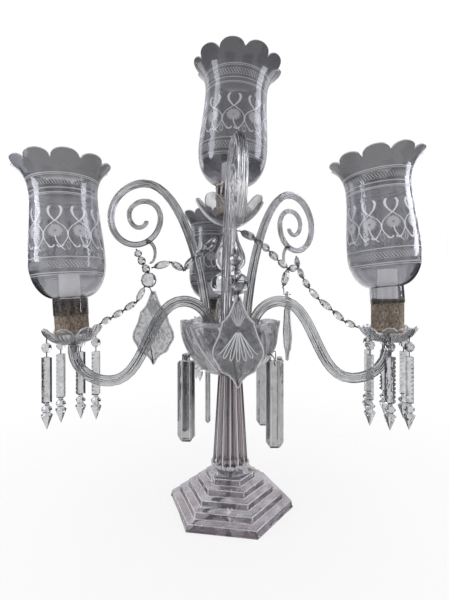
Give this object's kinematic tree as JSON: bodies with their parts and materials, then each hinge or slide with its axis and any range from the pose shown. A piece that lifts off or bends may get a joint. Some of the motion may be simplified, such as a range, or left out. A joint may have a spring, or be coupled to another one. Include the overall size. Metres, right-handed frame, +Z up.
{
  "type": "tabletop candelabra",
  "caption": "Glass candelabra on a stepped hexagonal foot: a bowl with light arms and scroll arms, etched shades on brass galleries, bead chains and hanging prisms.",
  "frame": {"origin": "centre of the foot's underside, on the stem's axis", "axes": "+Z up along the stem; -Y is the front, with the front scroll and its pendalogue; -X is the left light"},
  "size_m": [0.5106, 0.4411, 0.6155],
  "materials": {
    "clear_glass": "clear moulded and cut glass, with hooks and ties of dark wire in the same nodes",
    "etched_glass": "clear blown glass with frosted etching",
    "gallery_brass": "embossed, darkened with age",
    "nut_brass": "plain turned",
    "steel": "plain, dull",
    "white_sleeve": "smooth white",
    "lampholder": "moulded white"
  },
  "bodies": {
    "candelabra": {"foot": "clear_glass", "foot_nut": "nut_brass", "tie_rod": "steel", "column": "clear_glass", "bowl": "clear_glass", "receiver": "steel", "lower_baluster": "clear_glass", "stem_ball": "clear_glass", "stem_pear": "clear_glass", "stem_bobeche": "clear_glass", "left_arm": "clear_glass", "right_arm": "clear_glass", "rear_arm": "clear_glass", "left_bobeche": "clear_glass", "right_bobeche": "clear_glass", "rear_bobeche": "clear_glass", "left_gallery": "gallery_brass", "right_gallery": "gallery_brass", "rear_gallery": "gallery_brass", "stem_gallery": "gallery_brass", "lampholders": "lampholder", "front_scroll": "clear_glass", "left_scroll": "clear_glass", "right_scroll": "clear_glass", "left_chain": "clear_glass", "right_chain": "clear_glass", "scroll_chain": "clear_glass", "front_drop": "clear_glass"},
    "left_shade": {"left_shade": "etched_glass"},
    "left_sleeve": {"left_sleeve": "white_sleeve"},
    "right_shade": {"right_shade": "etched_glass"},
    "right_sleeve": {"right_sleeve": "white_sleeve"},
    "rear_shade": {"rear_shade": "etched_glass"},
    "rear_sleeve": {"rear_sleeve": "white_sleeve"},
    "stem_shade": {"stem_shade": "etched_glass"},
    "stem_sleeve": {"stem_sleeve": "white_sleeve"},
    "left_spear_1": {"left_spear_1": "clear_glass"},
    "left_spear_2": {"left_spear_2": "clear_glass"},
    "left_spear_3": {"left_spear_3": "clear_glass"},
    "left_spear_4": {"left_spear_4": "clear_glass"},
    "right_spear_1": {"right_spear_1": "clear_glass"},
    "right_spear_2": {"right_spear_2": "clear_glass"},
    "right_spear_3": {"right_spear_3": "clear_glass"},
    "right_spear_4": {"right_spear_4": "clear_glass"},
    "right_spear_5": {"right_spear_5": "clear_glass"},
    "right_spear_6": {"right_spear_6": "clear_glass"},
    "rear_spear_1": {"rear_spear_1": "clear_glass"},
    "rear_spear_2": {"rear_spear_2": "clear_glass"},
    "rear_spear_3": {"rear_spear_3": "clear_glass"},
    "rear_spear_4": {"rear_spear_4": "clear_glass"},
    "bowl_prism_1": {"bowl_prism_1": "clear_glass"},
    "bowl_prism_2": {"bowl_prism_2": "clear_glass"},
    "bowl_prism_3": {"bowl_prism_3": "clear_glass"},
    "bowl_prism_4": {"bowl_prism_4": "clear_glass"},
    "bowl_prism_5": {"bowl_prism_5": "clear_glass"},
    "bowl_prism_6": {"bowl_prism_6": "clear_glass"},
    "front_pendalogue": {"front_pendalogue": "clear_glass"},
    "left_pendalogue": {"left_pendalogue": "clear_glass"},
    "right_pendalogue": {"right_pendalogue": "clear_glass"}
  },
  "joints": [
    {"name": "left_shade_lift", "type": "slide", "parent": "candelabra", "child": "left_shade", "axis": [-0.061, 0, 0.9981], "range_m": [0, 0.08]},
    {"name": "left_sleeve_lift", "type": "slide", "parent": "candelabra", "child": "left_sleeve", "axis": [-0.061, 0, 0.9981], "range_m": [0, 0.08]},
    {"name": "right_shade_lift", "type": "slide", "parent": "candelabra", "child": "right_shade", "axis": [0, 0, 1], "range_m": [0, 0.08]},
    {"name": "right_sleeve_lift", "type": "slide", "parent": "candelabra", "child": "right_sleeve", "axis": [0, 0, 1], "range_m": [0, 0.08]},
    {"name": "rear_shade_lift", "type": "slide", "parent": "candelabra", "child": "rear_shade", "axis": [0, 0, 1], "range_m": [0, 0.08]},
    {"name": "rear_sleeve_lift", "type": "slide", "parent": "candelabra", "child": "rear_sleeve", "axis": [0, 0, 1], "range_m": [0, 0.08]},
    {"name": "stem_shade_lift", "type": "slide", "parent": "candelabra", "child": "stem_shade", "axis": [0, 0, 1], "range_m": [0, 0.08]},
    {"name": "stem_sleeve_lift", "type": "slide", "parent": "candelabra", "child": "stem_sleeve", "axis": [0, 0, 1], "range_m": [0, 0.08]},
    {"name": "left_spear_1_swing", "type": "hinge", "parent": "candelabra", "child": "left_spear_1", "pos_m": [-0.22791, -0.06412, 0.23607], "axis": [-0.1045, 0.9945, 0], "range_deg": [-5, 20]},
    {"name": "left_spear_2_swing", "type": "hinge", "parent": "candelabra", "child": "left_spear_2", "pos_m": [-0.22108, -0.041, 0.23649], "axis": [0.6293, 0.7771, 0], "range_deg": [-5, 20]},
    {"name": "left_spear_3_swing", "type": "hinge", "parent": "candelabra", "child": "left_spear_3", "pos_m": [-0.19993, -0.0295, 0.23778], "axis": [0.9945, 0.1045, 0], "range_deg": [-5, 20]},
    {"name": "left_spear_4_swing", "type": "hinge", "parent": "candelabra", "child": "left_spear_4", "pos_m": [-0.17686, -0.03634, 0.23919], "axis": [0.7771, -0.6293, 0], "range_deg": [-5, 20]},
    {"name": "right_spear_1_swing", "type": "hinge", "parent": "candelabra", "child": "right_spear_1", "pos_m": [0.1937, -0.06979, 0.238], "axis": [-0.9511, 0.309, 0], "range_deg": [-5, 20]},
    {"name": "right_spear_2_swing", "type": "hinge", "parent": "candelabra", "child": "right_spear_2", "pos_m": [0.21774, -0.0679, 0.238], "axis": [-0.891, -0.454, 0], "range_deg": [-5, 20]},
    {"name": "right_spear_3_swing", "type": "hinge", "parent": "candelabra", "child": "right_spear_3", "pos_m": [0.2315, -0.02553, 0.238], "axis": [0.454, -0.891, 0], "range_deg": [-5, 20]},
    {"name": "right_spear_4_swing", "type": "hinge", "parent": "candelabra", "child": "right_spear_4", "pos_m": [0.21317, -0.00987, 0.238], "axis": [0.9511, -0.309, 0], "range_deg": [-5, 20]},
    {"name": "right_spear_5_swing", "type": "hinge", "parent": "candelabra", "child": "right_spear_5", "pos_m": [0.18913, -0.01176, 0.238], "axis": [0.891, 0.454, 0], "range_deg": [-5, 20]},
    {"name": "right_spear_6_swing", "type": "hinge", "parent": "candelabra", "child": "right_spear_6", "pos_m": [0.17537, -0.05413, 0.238], "axis": [-0.454, 0.891, 0], "range_deg": [-5, 20]},
    {"name": "rear_spear_1_swing", "type": "hinge", "parent": "candelabra", "child": "rear_spear_1", "pos_m": [-0.05649, 0.18238, 0.238], "axis": [-0.7071, 0.7071, 0], "range_deg": [-5, 20]},
    {"name": "rear_spear_2_swing", "type": "hinge", "parent": "candelabra", "child": "rear_spear_2", "pos_m": [-0.01195, 0.18238, 0.238], "axis": [-0.7071, -0.7071, 0], "range_deg": [-5, 20]},
    {"name": "rear_spear_3_swing", "type": "hinge", "parent": "candelabra", "child": "rear_spear_3", "pos_m": [-0.00272, 0.20466, 0.238], "axis": [0, -1, 0], "range_deg": [-5, 20]},
    {"name": "rear_spear_4_swing", "type": "hinge", "parent": "candelabra", "child": "rear_spear_4", "pos_m": [-0.06572, 0.20466, 0.238], "axis": [0, 1, 0], "range_deg": [-5, 20]},
    {"name": "bowl_prism_1_swing", "type": "hinge", "parent": "candelabra", "child": "bowl_prism_1", "pos_m": [0.05843, -0.00821, 0.213], "axis": [-0.1392, -0.9903, 0], "range_deg": [-6, 15]},
    {"name": "bowl_prism_2_swing", "type": "hinge", "parent": "candelabra", "child": "bowl_prism_2", "pos_m": [0.04948, -0.03213, 0.213], "axis": [-0.5446, -0.8387, 0], "range_deg": [-6, 15]},
    {"name": "bowl_prism_3_swing", "type": "hinge", "parent": "candelabra", "child": "bowl_prism_3", "pos_m": [-0.04948, -0.03213, 0.213], "axis": [-0.5446, 0.8387, 0], "range_deg": [-6, 15]},
    {"name": "bowl_prism_4_swing", "type": "hinge", "parent": "candelabra", "child": "bowl_prism_4", "pos_m": [-0.05544, 0.02018, 0.213], "axis": [0.342, 0.9397, 0], "range_deg": [-6, 15]},
    {"name": "bowl_prism_5_swing", "type": "hinge", "parent": "candelabra", "child": "bowl_prism_5", "pos_m": [-0.0295, 0.0511, 0.213], "axis": [0.866, 0.5, 0], "range_deg": [-6, 15]},
    {"name": "bowl_prism_6_swing", "type": "hinge", "parent": "candelabra", "child": "bowl_prism_6", "pos_m": [0.04453, 0.03871, 0.213], "axis": [0.6561, -0.7547, 0], "range_deg": [-6, 15]},
    {"name": "front_pendalogue_swing", "type": "hinge", "parent": "candelabra", "child": "front_pendalogue", "pos_m": [0.008, -0.105, 0.2845], "axis": [0, 1, 0], "range_deg": [-12, 12]},
    {"name": "left_pendalogue_swing", "type": "hinge", "parent": "candelabra", "child": "left_pendalogue", "pos_m": [-0.107, -0.008, 0.2925], "axis": [0, 1, 0], "range_deg": [-4, 12]},
    {"name": "right_pendalogue_swing", "type": "hinge", "parent": "candelabra", "child": "right_pendalogue", "pos_m": [0.085, 0.027, 0.2925], "axis": [1, 0, 0], "range_deg": [-12, 12]}
  ]
}
